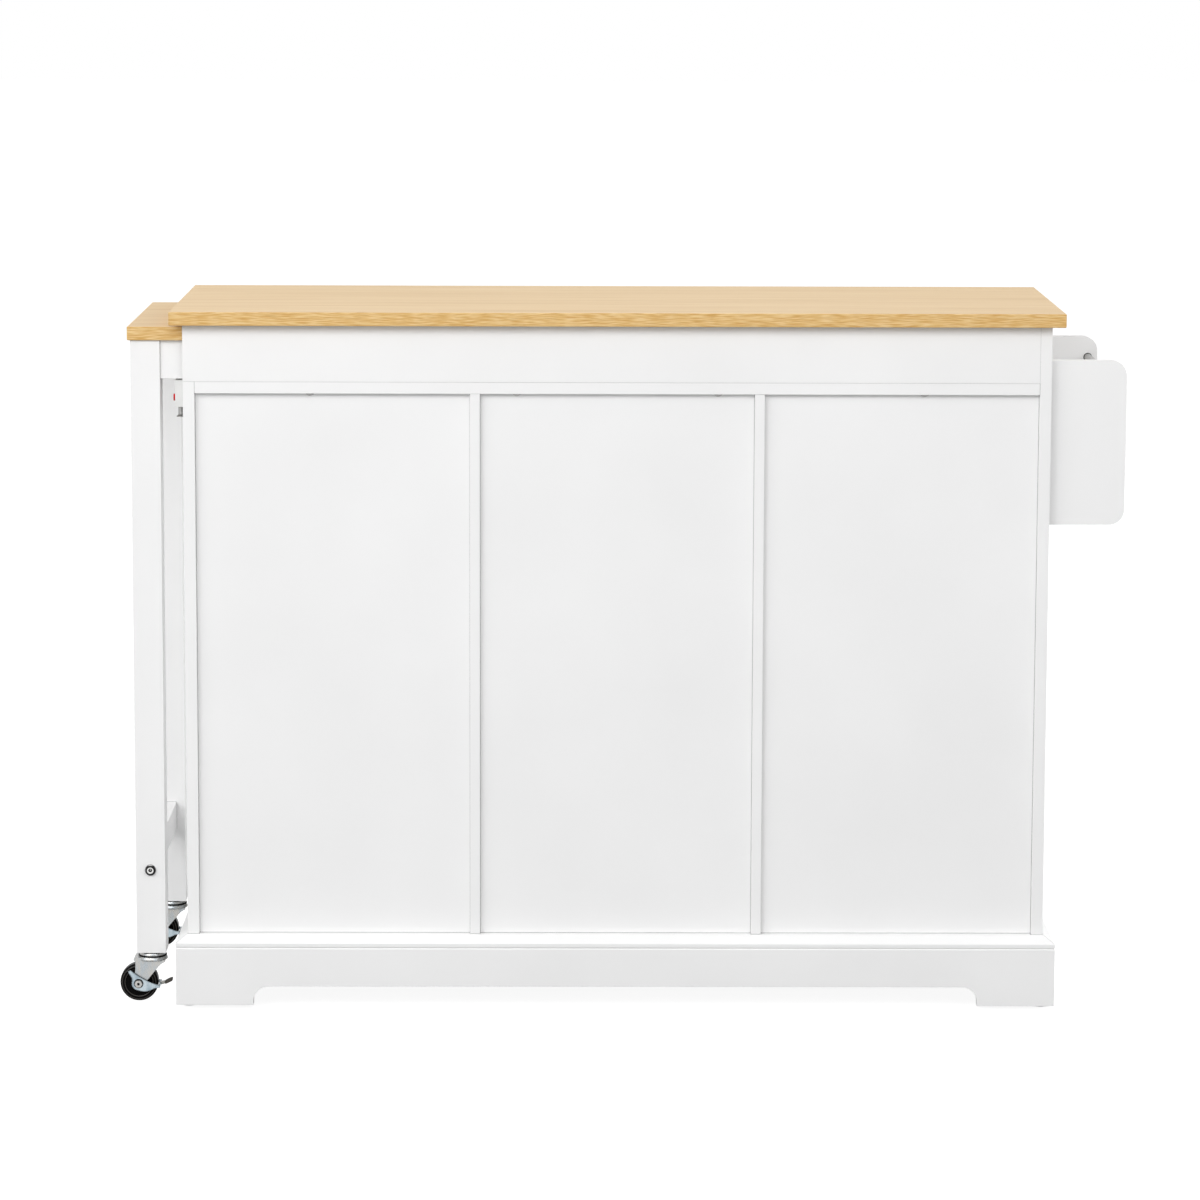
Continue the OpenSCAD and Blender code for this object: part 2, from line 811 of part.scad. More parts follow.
// raceway ring, the ear over the wheel, two cheeks and the axle with its nuts
module caster_fork() {
    axle_half = pedal_in + pedal_thick + 1;
    ear_half = cheek_in + cheek;
    ear_z0 = plate_z0 - 1;
    ear_z1 = plate_z1 - 0.6;
    difference() {
        union() {
            rotate_extrude() polygon([
                [0, plate_z0], [ring_r - 1, plate_z0], [ring_r, plate_z0 + 1], [ring_r, plate_z1 - 2.4],
                [ring_r - 0.6, plate_z1 - 1.4], [cap_r + 0.9, plate_z1], [0, plate_z1]
            ]);
            side_plate(-ear_half, 2 * ear_half) polygon([
                [0, ear_z0], [ear_reach - 1.6, ear_z0], [ear_reach, ear_z0 + 1.6],
                [ear_reach, ear_z1 - 1.8], [ear_reach - 1.8, ear_z1], [0, ear_z1]
            ]);
            for (side = [-1, 1])
                on_face(side) side_plate(cheek_in, cheek) cheek_shape();
        }
        translate([0, 0, plate_z0 - board]) cylinder(h = board + touch, r = rivet_r + slide_fit);
        translate([0, 0, plate_z0 - 1]) cylinder(h = caster_height, r = king_r + run_fit);
    }
    translate([caster_trail, 0, axle_z]) {
        translate([0, axle_half, 0]) rotate([90, 0, 0]) cylinder(h = 2 * axle_half, r = axle_r);
        axle_end();
        mirror([0, 1, 0]) axle_end();
    }
}

module on_face(side) {
    if (side > 0) children();
    else mirror([0, 1, 0]) children();
}

module caster_wheel() {
    r = wheel_dia / 2;
    half = wheel_width / 2;
    tread = 6;
    translate([caster_trail, 0, axle_z]) rotate([90, 0, 0]) rotate_extrude() polygon([
        [axle_r + run_fit, -half - 0.5], [axle_r + 4, -half - 0.5], [axle_r + 4, -half + 3],
        [r - tread, -half + 3], [r - tread, -half + 0.5], [r - tread + 1, -half], [r - 2.5, -half],
        [r, 3 - half], [r, half - 3], [r - 2.5, half], [r - tread + 1, half], [r - tread, half - 0.5],
        [r - tread, half - 3], [axle_r + 4, half - 3], [axle_r + 4, half + 0.5],
        [axle_r + run_fit, half + 0.5]
    ]);
}

// outline of the brake lever beside the wheel, axle at the origin: a finger towards +X,
// a lobe round the axle and a blade towards -X, hollowed along its upper edge
module lever_shape() {
    lobe_r = 9;
    blade_r = 21.5;
    hollow_r = 97;
    difference() {
        union() {
            circle(lobe_r);
            polygon([[-4, 7], [2.5, 12], [9, 18.5], [14, 16], [8.8, 7.6], [8.4, 3], [0, 0]]);
            intersection() {
                translate([-7.5, 11]) circle(blade_r);
                translate([bridge_x, -lobe_r - 3]) square([-bridge_x, 3 * lobe_r]);
            }
            polygon([[bridge_x, -5.5], [bridge_x, -1.4], [-20, 1], [-20, -6.4]]);
        }
        translate([-53, 91]) circle(hollow_r);
        circle(axle_r + run_fit);
    }
}

// brake lever on the axle: two side plates, a bridge behind the wheel and a curved arm
module caster_pedal() {
    bridge = 2;
    translate([caster_trail, 0, axle_z]) {
        for (side = [-1, 1])
            on_face(side) side_plate(pedal_in, pedal_thick) lever_shape();
        side_plate(-pedal_in - touch, 2 * pedal_in + 2 * touch)
            translate([bridge_x, -5.2]) square([bridge, 3.6]);
        side_plate(-arm_width / 2, arm_width) polygon([
            [bridge_x + 1, -4.6], [bridge_x - 2.4, -3.8], [-34.5, -2.4], [-38.6, -0.2], [-arm_reach, 1.4],
            [-arm_reach, 3.2], [-38.2, 1.7], [-34, -0.6], [bridge_x - 2, -2], [bridge_x + 1, -2.6]
        ]);
    }
}

module at_caster(y) {
    translate([leg_mid_x, y, 0]) children();
}

module caster_stems() color(zinc) framed() {
    at_caster(leg_back_y) caster_stem();
    at_caster(leg_front_y) caster_stem();
}

module caster_back_fork() color(zinc) framed() at_caster(leg_back_y) caster_fork();

module caster_back_wheel() color(black) framed() at_caster(leg_back_y) caster_wheel();

module caster_back_pedal() color(zinc) framed() at_caster(leg_back_y) caster_pedal();

module caster_front_fork() color(zinc) framed() at_caster(leg_front_y) caster_fork();

module caster_front_wheel() color(black) framed() at_caster(leg_front_y) caster_wheel();

module caster_front_pedal() color(zinc) framed() at_caster(leg_front_y) caster_pedal();

worktop();
side_panel_left();
side_panel_right();
divider_left();
divider_right();
deck_board();
pocket_floor();
rear_apron();
front_apron();
back_panel_left();
back_panel_middle();
back_panel_right();
plinth_back();
plinth_front();
plinth_left();
plinth_right();
floor_glides();
shelf_left();
shelf_right();
cabinet_fixings();
table_guides();
drawer_runners();
rack_plate_back();
rack_plate_front();
rack_rods();
rack_shelf();
hinge_plates();
latch_housing();
latch_button();
latch_plunger();
table_top();
table_rail_back();
table_rail_front();
table_cross_rails();
leg_back();
leg_front();
leg_stretcher();
leg_bolts();
caster_stems();
caster_back_fork();
caster_back_wheel();
caster_back_pedal();
caster_front_fork();
caster_front_wheel();
caster_front_pedal();
door_left();
door_left_hinges();
door_left_knob();
door_right();
door_right_hinges();
door_right_knob();
drawer_top_front();
drawer_top_box();
drawer_top_knob();
drawer_middle_front();
drawer_middle_box();
drawer_middle_knob();
drawer_bottom_front();
drawer_bottom_box();
drawer_bottom_knob();
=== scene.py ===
"""Kitchen island: finishes, small hardware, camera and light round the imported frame. Metres, Z up."""
import bpy
import bmesh
import json
import math
from mathutils import Matrix, Vector

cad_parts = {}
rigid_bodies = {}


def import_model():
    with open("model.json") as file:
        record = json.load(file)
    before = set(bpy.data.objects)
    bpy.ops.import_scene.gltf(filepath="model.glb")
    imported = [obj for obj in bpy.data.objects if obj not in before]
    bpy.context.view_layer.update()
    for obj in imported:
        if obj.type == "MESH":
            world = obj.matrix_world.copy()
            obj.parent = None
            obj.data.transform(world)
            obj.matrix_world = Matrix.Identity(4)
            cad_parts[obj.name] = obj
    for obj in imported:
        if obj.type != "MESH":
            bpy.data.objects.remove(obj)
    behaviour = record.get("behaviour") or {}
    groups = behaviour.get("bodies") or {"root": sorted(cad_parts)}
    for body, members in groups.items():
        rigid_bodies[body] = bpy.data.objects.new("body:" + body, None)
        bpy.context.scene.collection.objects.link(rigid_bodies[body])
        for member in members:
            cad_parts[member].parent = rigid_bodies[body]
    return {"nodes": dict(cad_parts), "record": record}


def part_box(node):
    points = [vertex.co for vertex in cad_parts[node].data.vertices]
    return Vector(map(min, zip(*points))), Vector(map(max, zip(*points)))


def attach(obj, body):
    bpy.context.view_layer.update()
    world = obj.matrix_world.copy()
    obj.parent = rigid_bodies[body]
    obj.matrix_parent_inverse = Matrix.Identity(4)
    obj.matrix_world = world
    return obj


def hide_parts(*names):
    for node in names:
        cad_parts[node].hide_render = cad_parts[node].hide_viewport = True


for start_object in list(bpy.data.objects):
    bpy.data.objects.remove(start_object)

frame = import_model()
bpy.context.view_layer.update()
MM = 0.001


# Materials

# Sockets of the mix node that carry colours
COLOR_FIRST, COLOR_SECOND, COLOR_OUT = 6, 7, 2
EDGE_SAMPLES = 4
RECESS_SAMPLES = 8
# Turn of the rounded normal, as a cosine, that counts as a full edge
FULL_EDGE = 0.86
BRIGHTEST = 0.95
AXIS_X, AXIS_Z = 0, 2


def scaled(tone, factor):
    """Colour times a factor, kept below the brightest that a real surface has."""
    return tuple(min(BRIGHTEST, channel * factor) for channel in tone)


class Finish:
    """Builds one node material around a Principled shader."""

    def __init__(self, name, color, roughness, metallic=0.0, specular=0.5):
        self.material = bpy.data.materials.new(name)
        self.material.use_nodes = True
        self.tree = self.material.node_tree
        self.shader = self.tree.nodes["Principled BSDF"]
        self.shader.inputs["Base Color"].default_value = (*color, 1.0)
        self.shader.inputs["Roughness"].default_value = roughness
        self.shader.inputs["Metallic"].default_value = metallic
        self.shader.inputs["Specular IOR Level"].default_value = specular
        self.material.diffuse_color = (*color, 1.0)

    def node(self, kind, settings=None, **inputs):
        """Adds a node; i0, i1 and so on feed inputs by number, other words by name."""
        made = self.tree.nodes.new(kind)
        for key, value in (settings or {}).items():
            setattr(made, key, value)
        for key, value in inputs.items():
            numbered = key[0] == "i" and key[1:].isdigit()
            self.feed(made.inputs[int(key[1:]) if numbered else key], value)
        return made

    def feed(self, socket, value):
        if isinstance(value, bpy.types.NodeSocket):
            self.tree.links.new(value, socket)
        elif isinstance(value, (tuple, list)) and len(value) == 3 and socket.type == "RGBA":
            socket.default_value = (*value, 1.0)
        else:
            socket.default_value = value

    def place(self, scale):
        """Object coordinates stretched by scale, in features per metre along X, Y and Z."""
        where = self.node("ShaderNodeTexCoord").outputs["Object"]
        return self.node("ShaderNodeVectorMath", {"operation": "MULTIPLY"}, i0=where, i1=scale).outputs[0]

    def noise(self, scale, detail=3.0, rough=0.5, warp=0.0):
        made = self.node("ShaderNodeTexNoise", Vector=self.place(scale), Scale=1.0, Detail=detail,
                         Roughness=rough, Distortion=warp)
        return made.outputs[0]

    def ramp(self, value, stops):
        """Colour ramp through (position, colour) stops."""
        made = self.node("ShaderNodeValToRGB", Fac=value)
        ramp = made.color_ramp
        while len(ramp.elements) < len(stops):
            ramp.elements.new(0.5)
        for element, (position, color) in zip(ramp.elements, stops):
            element.position = position
            element.color = (*color, 1.0)
        return made.outputs[0]

    def span(self, value, low, high, to_low, to_high):
        """Maps low..high to to_low..to_high and stays at the ends beyond."""
        made = self.node("ShaderNodeMapRange", {"clamp": True}, i0=value, i1=low, i2=high, i3=to_low,
                         i4=to_high)
        return made.outputs[0]

    def mix(self, factor, first, second):
        """The first colour where factor is 0, the second where it is 1."""
        made = self.node("ShaderNodeMix", {"data_type": "RGBA"}, i0=factor)
        self.feed(made.inputs[COLOR_FIRST], first)
        self.feed(made.inputs[COLOR_SECOND], second)
        return made.outputs[COLOR_OUT]

    def math(self, operation, first, second=0.0):
        return self.node("ShaderNodeMath", {"operation": operation}, i0=first, i1=second).outputs[0]

    def facing(self, axis):
        """1 where the surface looks along the axis, 0 where it lies parallel to it."""
        normal = self.node("ShaderNodeNewGeometry").outputs["Normal"]
        return self.math("ABSOLUTE", self.node("ShaderNodeSeparateXYZ", Vector=normal).outputs[axis])

    def edges(self, width):
        """1 on edges rounded at that width and 0 on flat ground."""
        rounded = self.node("ShaderNodeBevel", {"samples": EDGE_SAMPLES}, Radius=width).outputs[0]
        true_normal = self.node("ShaderNodeNewGeometry").outputs["Normal"]
        dot = self.node("ShaderNodeVectorMath", {"operation": "DOT_PRODUCT"}, i0=rounded, i1=true_normal)
        return self.span(dot.outputs["Value"], 1.0, FULL_EDGE, 0.0, 1.0)

    def recesses(self, reach, closed=0.35, clear=0.9):
        """1 deep in corners and narrow gaps, 0 on open ground."""
        made = self.node("ShaderNodeAmbientOcclusion", {"samples": RECESS_SAMPLES}, Distance=reach)
        return self.span(made.outputs["AO"], closed, clear, 1.0, 0.0)

    def color(self, value):
        self.feed(self.shader.inputs["Base Color"], value)

    def roughness(self, value):
        self.feed(self.shader.inputs["Roughness"], value)

    def bump(self, height, depth, strength=1.0):
        made = self.node("ShaderNodeBump", Height=height, Distance=depth, Strength=strength)
        self.feed(self.shader.inputs["Normal"], made.outputs[0])


def laminate(name, tone, roughness, peel):
    """Foil-covered board: fine orange peel, faint clouding, rubbed edges, painted shade in seams and upright
    joints.
    """
    edge_width, seam_reach, joint_reach = 1.2 * MM, 1.5 * MM, 1.4 * MM
    finish = Finish(name, tone, roughness, specular=0.3)
    cloud = finish.noise((5.0, 5.0, 5.0), 2.0)
    ground = finish.mix(finish.span(cloud, 0.3, 0.7, 0.0, 1.0), tone, scaled(tone, 0.965))
    chips = finish.noise((420.0, 420.0, 420.0), 2.0)
    edge_mask = finish.math("MULTIPLY", finish.edges(edge_width), finish.span(chips, 0.5, 0.75, 0.12, 0.6))
    ground = finish.mix(edge_mask, ground, scaled(tone, 0.86))
    # Painted shade: seams and inside corners darkened where shade falls
    seam_shade = finish.math("MULTIPLY", finish.recesses(seam_reach, 0.4, 0.85), 0.7)
    ground = finish.mix(seam_shade, ground, scaled(tone, 0.16))
    # Painted shade: upright joints, on faces looking along X, darkened further
    sideways = finish.span(finish.facing(AXIS_X), 0.25, 0.6, 0.0, 0.85)
    joint_shade = finish.math("MULTIPLY", sideways, finish.recesses(joint_reach, 0.4, 0.9))
    finish.color(finish.mix(joint_shade, ground, scaled(tone, 0.05)))
    smear = finish.noise((18.0, 18.0, 9.0), 4.0, 0.6)
    finish.roughness(finish.span(smear, 0.25, 0.75, roughness - 0.05, roughness + 0.08))
    finish.bump(finish.noise((700.0, 700.0, 700.0), 2.0), peel)
    return finish.material


def oak(name):
    """Oak-print laminate: pale faces with soft random grain, golden edge band with short streaks."""
    edge_width, pore_depth = 0.9 * MM, 0.08 * MM
    finish = Finish(name, (0.78, 0.60, 0.38), 0.5, specular=0.06)
    figure = finish.noise((2.6, 46.0, 46.0), 4.0, 0.55, 0.5)
    fibre = finish.noise((9.0, 420.0, 420.0), 4.0, 0.65)
    pore = finish.noise((34.0, 1300.0, 1300.0), 2.0, 0.5)
    grain = finish.math("ADD", finish.math("MULTIPLY", figure, 0.6), finish.math("MULTIPLY", fibre, 0.4))
    face = finish.ramp(grain, [
        (0.34, (0.755, 0.560, 0.340)), (0.48, (0.820, 0.625, 0.398)), (0.64, (0.865, 0.680, 0.447)),
    ])
    face = finish.mix(finish.span(pore, 0.62, 0.72, 0.0, 0.25), face, (0.60, 0.42, 0.23))
    streak = finish.noise((55.0, 1000.0, 1000.0), 1.0, 0.4, 0.1)
    dash = finish.noise((70.0, 1150.0, 1150.0), 1.0, 0.4, 0.1)
    edging = finish.ramp(streak, [
        (0.34, (0.64, 0.370, 0.120)), (0.48, (0.730, 0.475, 0.190)), (0.64, (0.820, 0.590, 0.295)),
    ])
    edging = finish.mix(finish.span(dash, 0.60, 0.70, 0.0, 0.3), edging, (0.50, 0.28, 0.09))
    # Edges darker along their rounding
    edge_mask = finish.math("MULTIPLY", finish.edges(edge_width), 0.45)
    edging = finish.mix(edge_mask, edging, (0.55, 0.33, 0.12))
    side = finish.span(finish.facing(AXIS_Z), 0.55, 0.8, 1.0, 0.0)
    finish.color(finish.mix(side, face, edging))
    finish.roughness(finish.span(fibre, 0.3, 0.7, 0.56, 0.68))
    pits = finish.math("SUBTRACT", fibre, finish.span(pore, 0.6, 0.72, 0.0, 0.6))
    finish.bump(pits, pore_depth, 0.6)
    return finish.material


def bare_wood(name):
    """Plain hardwood with fibres along Y."""
    finish = Finish(name, (0.55, 0.38, 0.21), 0.6)
    fibre = finish.noise((60.0, 9.0, 600.0), 4.0, 0.6)
    finish.color(finish.ramp(fibre, [(0.3, (0.42, 0.27, 0.14)), (0.7, (0.62, 0.45, 0.27))]))
    finish.bump(fibre, 0.1 * MM)
    return finish.material


def metal(name, tone, cloud_tone, roughness, brush, rim=1.5, contour=0.0):
    """Plated steel: brush lines, clouded plating, painted shade in recesses, painted edge highlights with a
    painted dark band inside.
    """
    recess_reach, bright_width, brush_depth = 3.0 * MM, 0.4 * MM, 0.03 * MM
    finish = Finish(name, tone, roughness, metallic=1.0)
    # Clouded plating tint in upright streaks; on the zinc it is partly a painted bluish reflection streak
    cloud = finish.noise((130.0, 130.0, 34.0), 3.0, 0.55)
    ground = finish.mix(finish.span(cloud, 0.40, 0.66, 0.0, 1.0), tone, cloud_tone)
    painted_shade_tone = scaled(tone, 0.12)
    # Painted shade: recesses darkened almost to black
    ground = finish.mix(finish.math("MULTIPLY", finish.recesses(recess_reach), 0.9), ground, painted_shade_tone)
    # Painted dark reflection: a dark band along the edges
    if contour:
        ground = finish.mix(finish.math("MULTIPLY", finish.edges(contour), 0.85), ground, painted_shade_tone)
    # Painted highlight: the edges lighter than the ground
    bright = finish.math("MULTIPLY", finish.edges(bright_width), 0.8)
    finish.color(finish.mix(bright, ground, scaled(tone, rim)))
    lines = finish.noise(brush, 3.0, 0.6)
    finish.roughness(finish.span(lines, 0.3, 0.7, roughness - 0.06, roughness + 0.1))
    finish.bump(lines, brush_depth, 0.5)
    return finish.material


def moulded(name, tone, roughness, specular=0.5, rim=None):
    """Moulded plastic or rubber: fine spark texture, sheen changes, a little dust, rubbed edges; a given rim
    colour paints a highlight on the edges.
    """
    edge_width, spark_depth = 0.5 * MM, 0.03 * MM
    finish = Finish(name, tone, roughness, specular=specular)
    cloud = finish.noise((45.0, 45.0, 45.0), 4.0, 0.6)
    dusty = tuple(channel * 0.92 + 0.004 for channel in tone)
    ground = finish.mix(finish.span(cloud, 0.4, 0.75, 0.0, 1.0), tone, dusty)
    edge_mask = finish.math("MULTIPLY", finish.edges(edge_width), 0.7)
    finish.color(finish.mix(edge_mask, ground, rim or scaled(tone, 1.15)))
    finish.roughness(finish.span(cloud, 0.3, 0.7, roughness - 0.05, roughness + 0.08))
    finish.bump(finish.noise((1500.0, 1500.0, 1500.0), 2.0), spark_depth)
    return finish.material


WHITE = (0.905, 0.905, 0.905)
FINE_BRUSH = (500.0, 500.0, 120.0)
STEEL, DARK_STEEL = (0.42, 0.415, 0.405), (0.34, 0.335, 0.33)
# Zinc tones; their bluish cloud tones are partly plating tint, partly a painted reflection streak
ZINC, DULL_ZINC = (0.45, 0.44, 0.42), (0.37, 0.405, 0.43)
BLUE_ZINC, DULL_BLUE_ZINC = (0.46, 0.53, 0.57), (0.29, 0.36, 0.41)
finishes = {
    "oak_laminate": oak("oak_print_laminate"),
    "white_laminate": laminate("white_board_foil", WHITE, 0.42, 0.04 * MM),
    "drawer_board": laminate("drawer_board_foil", (0.84, 0.84, 0.825), 0.55, 0.06 * MM),
    "bare_wood": bare_wood("runner_hardwood"),
    "pale_nylon": moulded("pale_nylon_moulding", (0.74, 0.74, 0.73), 0.45),
    "red_plastic": moulded("red_key_plastic", (0.62, 0.002, 0.002), 0.5, 0.05),
    "plated_steel": metal("nickel_plated_steel", STEEL, DARK_STEEL, 0.30, (900.0, 900.0, 60.0),
                          contour=0.9 * MM),
    "satin_nickel": metal("satin_nickel_bar", (0.46, 0.455, 0.445), (0.41, 0.405, 0.395), 0.32,
                          (900.0, 40.0, 900.0), contour=1.2 * MM),
    "zinc_plate": metal("bright_zinc_plate", ZINC, DULL_ZINC, 0.26, FINE_BRUSH, contour=0.9 * MM),
    # Black tyre: its lighter rim colour is a painted highlight on the edges
    "black_tyre": moulded("black_wheel_moulding", (0.0015, 0.0015, 0.0015), 0.22, 0.03,
                          rim=(0.003, 0.003, 0.003)),
}
lever_zinc = metal("blue_zinc_lever", BLUE_ZINC, DULL_BLUE_ZINC, 0.22, FINE_BRUSH, rim=1.2,
                   contour=2.4 * MM)
# Lighter black for the wheel's ridge faces: painted glint rings
ridge_glint_black = moulded("wheel_ridge_glint", (0.036, 0.032, 0.028), 0.3, 0.2)
bolt_steel = metal("bolt_head_steel", (0.72, 0.72, 0.71), (0.62, 0.62, 0.61), 0.24, FINE_BRUSH, rim=1.3)
arm_steel = metal("lever_arm_steel", (0.30, 0.295, 0.275), (0.24, 0.235, 0.22), 0.34, FINE_BRUSH, rim=1.3)
# Black rubber for the swivel seals; the same black paints shade in rings and discs at the axle nuts and rod
# ends
seal_and_shade_black = moulded("seal_and_shade_black", (0.004, 0.004, 0.004), 0.5, 0.05)
tip_rubber = moulded("lever_tip_rubber", (0.075, 0.068, 0.060), 0.6, 0.2)
# Black for the collars and socket liners round the bolt heads: painted shade
shade_collar_black = moulded("bolt_shade_collar_plastic", (0.006, 0.006, 0.006), 0.3, 0.2)

slot_of = {entry["node"]: entry["material_slot"] for entry in frame["record"]["subparts"]}


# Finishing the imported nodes

SMOOTH_BELOW = math.radians(32.0)
BEVEL_ABOVE = math.radians(34.0)
WELD_REACH = 0.01 * MM


def smooth_group():
    """Geometry nodes that smooth every edge flatter than the limit."""
    group = bpy.data.node_groups.new("smooth_by_edge", "GeometryNodeTree")
    group.interface.new_socket("Geometry", in_out="INPUT", socket_type="NodeSocketGeometry")
    group.interface.new_socket("Geometry", in_out="OUTPUT", socket_type="NodeSocketGeometry")
    start = group.nodes.new("NodeGroupInput")
    end = group.nodes.new("NodeGroupOutput")
    faces = group.nodes.new("GeometryNodeSetShadeSmooth")
    faces.domain = "FACE"
    faces.inputs["Shade Smooth"].default_value = True
    edges = group.nodes.new("GeometryNodeSetShadeSmooth")
    edges.domain = "EDGE"
    angle = group.nodes.new("GeometryNodeInputMeshEdgeAngle")
    flat = group.nodes.new("FunctionNodeCompare")
    flat.data_type = "FLOAT"
    flat.operation = "LESS_THAN"
    flat.inputs[1].default_value = SMOOTH_BELOW
    group.links.new(angle.outputs[0], flat.inputs[0])
    group.links.new(start.outputs[0], faces.inputs["Geometry"])
    group.links.new(faces.outputs[0], edges.inputs["Geometry"])
    group.links.new(flat.outputs[0], edges.inputs["Shade Smooth"])
    group.links.new(edges.outputs[0], end.inputs[0])
    return group


smoothing = smooth_group()


def ease(obj, width, segments=2):
    """Rounds the sharp edges of obj by width and smooths the rest."""
    joined = obj.modifiers.new("joined", "WELD")
    joined.merge_threshold = WELD_REACH
    if width > 0:
        bevel = obj.modifiers.new("eased", "BEVEL")
        bevel.width = width
        bevel.segments = segments
        bevel.limit_method = "ANGLE"
        bevel.angle_limit = BEVEL_ABOVE
        bevel.use_clamp_overlap = True
    shade = obj.modifiers.new("smooth", "NODES")
    shade.node_group = smoothing
    level = obj.modifiers.new("level_faces", "WEIGHTED_NORMAL")
    level.keep_sharp = True
    level.weight = 50


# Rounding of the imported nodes, by slot
EASE = {
    "oak_laminate": 0.5 * MM, "white_laminate": 0.6 * MM, "drawer_board": 0.4 * MM, "bare_wood": 0.5 * MM,
    "pale_nylon": 0.4 * MM, "red_plastic": 0.6 * MM, "plated_steel": 0.2 * MM, "satin_nickel": 0.3 * MM,
    "zinc_plate": 0.25 * MM, "black_tyre": 0.3 * MM,
}


def finish_of(node, slot):
    """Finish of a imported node; levers and bolts are plated brighter than the rest of their slot."""
    if node.endswith("_pedal"):
        return lever_zinc
    return bolt_steel if node == "leg_bolts" else finishes[slot]


for name, obj in frame["nodes"].items():
    if "custom_normal" in obj.data.attributes:
        obj.data.attributes.remove(obj.data.attributes["custom_normal"])
    slot = slot_of[name]
    obj.data.materials.clear()
    obj.data.materials.append(finish_of(name, slot))
    ease(obj, EASE[slot])


# Mesh helpers

def new_piece(name, mesh_source, material, body, rounding=0.0, segments=2):
    """Adds one piece that moves with body; rounding eases its sharp edges."""
    mesh = bpy.data.meshes.new(name)
    mesh_source.normal_update()
    mesh_source.to_mesh(mesh)
    mesh_source.free()
    obj = bpy.data.objects.new(name, mesh)
    bpy.context.scene.collection.objects.link(obj)
    mesh.materials.append(material)
    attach(obj, body)
    ease(obj, rounding, segments)
    return obj


def in_metres(section):
    """Section points given in millimetres."""
    return [(radius * MM, height * MM) for radius, height in section]


def lathe(profile, steps, centre=(0.0, 0.0, 0.0), axis="Z"):
    """Closed solid turned from (radius, height) points; a radius of 0 closes on the axis."""
    mesh = bmesh.new()
    rings = []
    for radius, height in profile:
        if radius <= 0:
            rings.append([mesh.verts.new((0.0, 0.0, height))])
        else:
            rings.append([
                mesh.verts.new((radius * math.cos(2 * math.pi * k / steps),
                                radius * math.sin(2 * math.pi * k / steps), height))
                for k in range(steps)
            ])
    pairs = list(zip(rings, rings[1:]))
    if profile[0][0] > 0 and profile[-1][0] > 0:
        pairs.append((rings[-1], rings[0]))
    for lower, upper in pairs:
        for k in range(steps):
            n = (k + 1) % steps
            if len(lower) == 1:
                mesh.faces.new((lower[0], upper[k], upper[n]))
            elif len(upper) == 1:
                mesh.faces.new((lower[k], upper[0], lower[n]))
            else:
                mesh.faces.new((lower[k], upper[k], upper[n], lower[n]))
    bmesh.ops.recalc_face_normals(mesh, faces=mesh.faces)
    turn = {"Z": Matrix.Identity(3), "Y": Matrix.Rotation(math.radians(-90.0), 3, "X")}[axis]
    for vert in mesh.verts:
        vert.co = turn @ vert.co + Vector(centre)
    return mesh


def middle(node):
    """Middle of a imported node's box."""
    low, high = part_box(node)
    return (low + high) / 2


# Casters: moulded wheels with painted glint rings, seals, rubber lever tips, black rings and discs painting
# shade at the nuts

# Half section of a wheel from the bore out to the tread: radius, distance out from the rim's face
WHEEL_HALF_WIDTH = 10.0 * MM
WHEEL_HALF = in_metres([
    (3.05, 0.5), (6.6, 0.5), (7.2, -0.2), (7.4, -2.6), (8.4, -3.2), (15.5, -3.0), (17.2, -2.2),
    (18.0, -0.6), (19.0, -0.1), (20.6, 0.0), (21.1, -0.45), (21.6, 0.0), (22.6, -0.3),
    (24.0, -1.3), (24.8, -3.0), (25.0, -5.0),
])


def wheel_profile():
    """Whole section of a wheel: the half section and its mirror image."""
    lower = [(radius, -WHEEL_HALF_WIDTH - out) for radius, out in WHEEL_HALF]
    return lower + [(radius, -height) for radius, height in reversed(lower)]


def band(inner, outer, low, high):
    """Ring section between two radii and two heights, its outer corners eased."""
    ease_by = 0.3 * (outer - inner)
    return [(inner, low), (outer - ease_by, low), (outer, low + ease_by), (outer, high - ease_by),
            (outer - ease_by, high), (inner, high)]


# Sections of the lever's sleeves from the hub outward, in millimetres: along, lift, half width, half height
ARM_SECTIONS = [(-26.8, -2.9, 2.8, 1.6), (-29.5, -2.4, 3.1, 1.9), (-33.4, -1.4, 3.1, 1.8)]
TIP_SECTIONS = [
    (-33.2, -1.4, 3.4, 1.7), (-34.4, -1.3, 4.4, 2.1), (-38.6, 0.7, 4.7, 2.3), (-42.6, 2.5, 4.4, 2.1),
    (-43.6, 2.8, 3.4, 1.3),
]


def sleeve_mesh(hub, sections):
    """Sleeve round the brake lever's arm, swept through its sections."""
    mesh = bmesh.new()
    rings = []
    for along, lift, half_wide, half_tall in sections:
        ring_points = []
        for wide, tall in ((-1, -1), (1, -1), (1, 1), (-1, 1)):
            offset = Vector((along, wide * half_wide, lift + tall * half_tall)) * MM
            ring_points.append(mesh.verts.new(hub + offset))
        rings.append(ring_points)
    for first, second in zip(rings, rings[1:]):
        for k in range(4):
            mesh.faces.new((first[k], first[(k + 1) % 4], second[(k + 1) % 4], second[k]))
    mesh.faces.new(rings[0])
    mesh.faces.new(reversed(rings[-1]))
    bmesh.ops.recalc_face_normals(mesh, faces=mesh.faces)
    return mesh


# Painted shade: sections of the bolt's collar and of the liner in its hex socket: radius, distance out from
# the leg
SHADE_COLLAR_SECTION = in_metres([
    (6.3, 0.1), (6.9, 0.1), (6.9, 2.0), (6.0, 3.5), (4.9, 4.3), (4.3, 4.2), (4.3, 3.6), (6.3, 1.6),
])
SOCKET_SHADE_SECTION = in_metres([
    (1.1, 1.6), (2.35, 1.6), (2.45, 4.03), (2.75, 4.06), (2.75, 3.9), (2.3, 1.4), (1.1, 1.4),
])
HEX_SIDES = 6
# The collar's outer part hangs lower than its foot by this much, fully so from this far out
COLLAR_DROP, COLLAR_DROP_AT = 0.5 * MM, 2.0 * MM


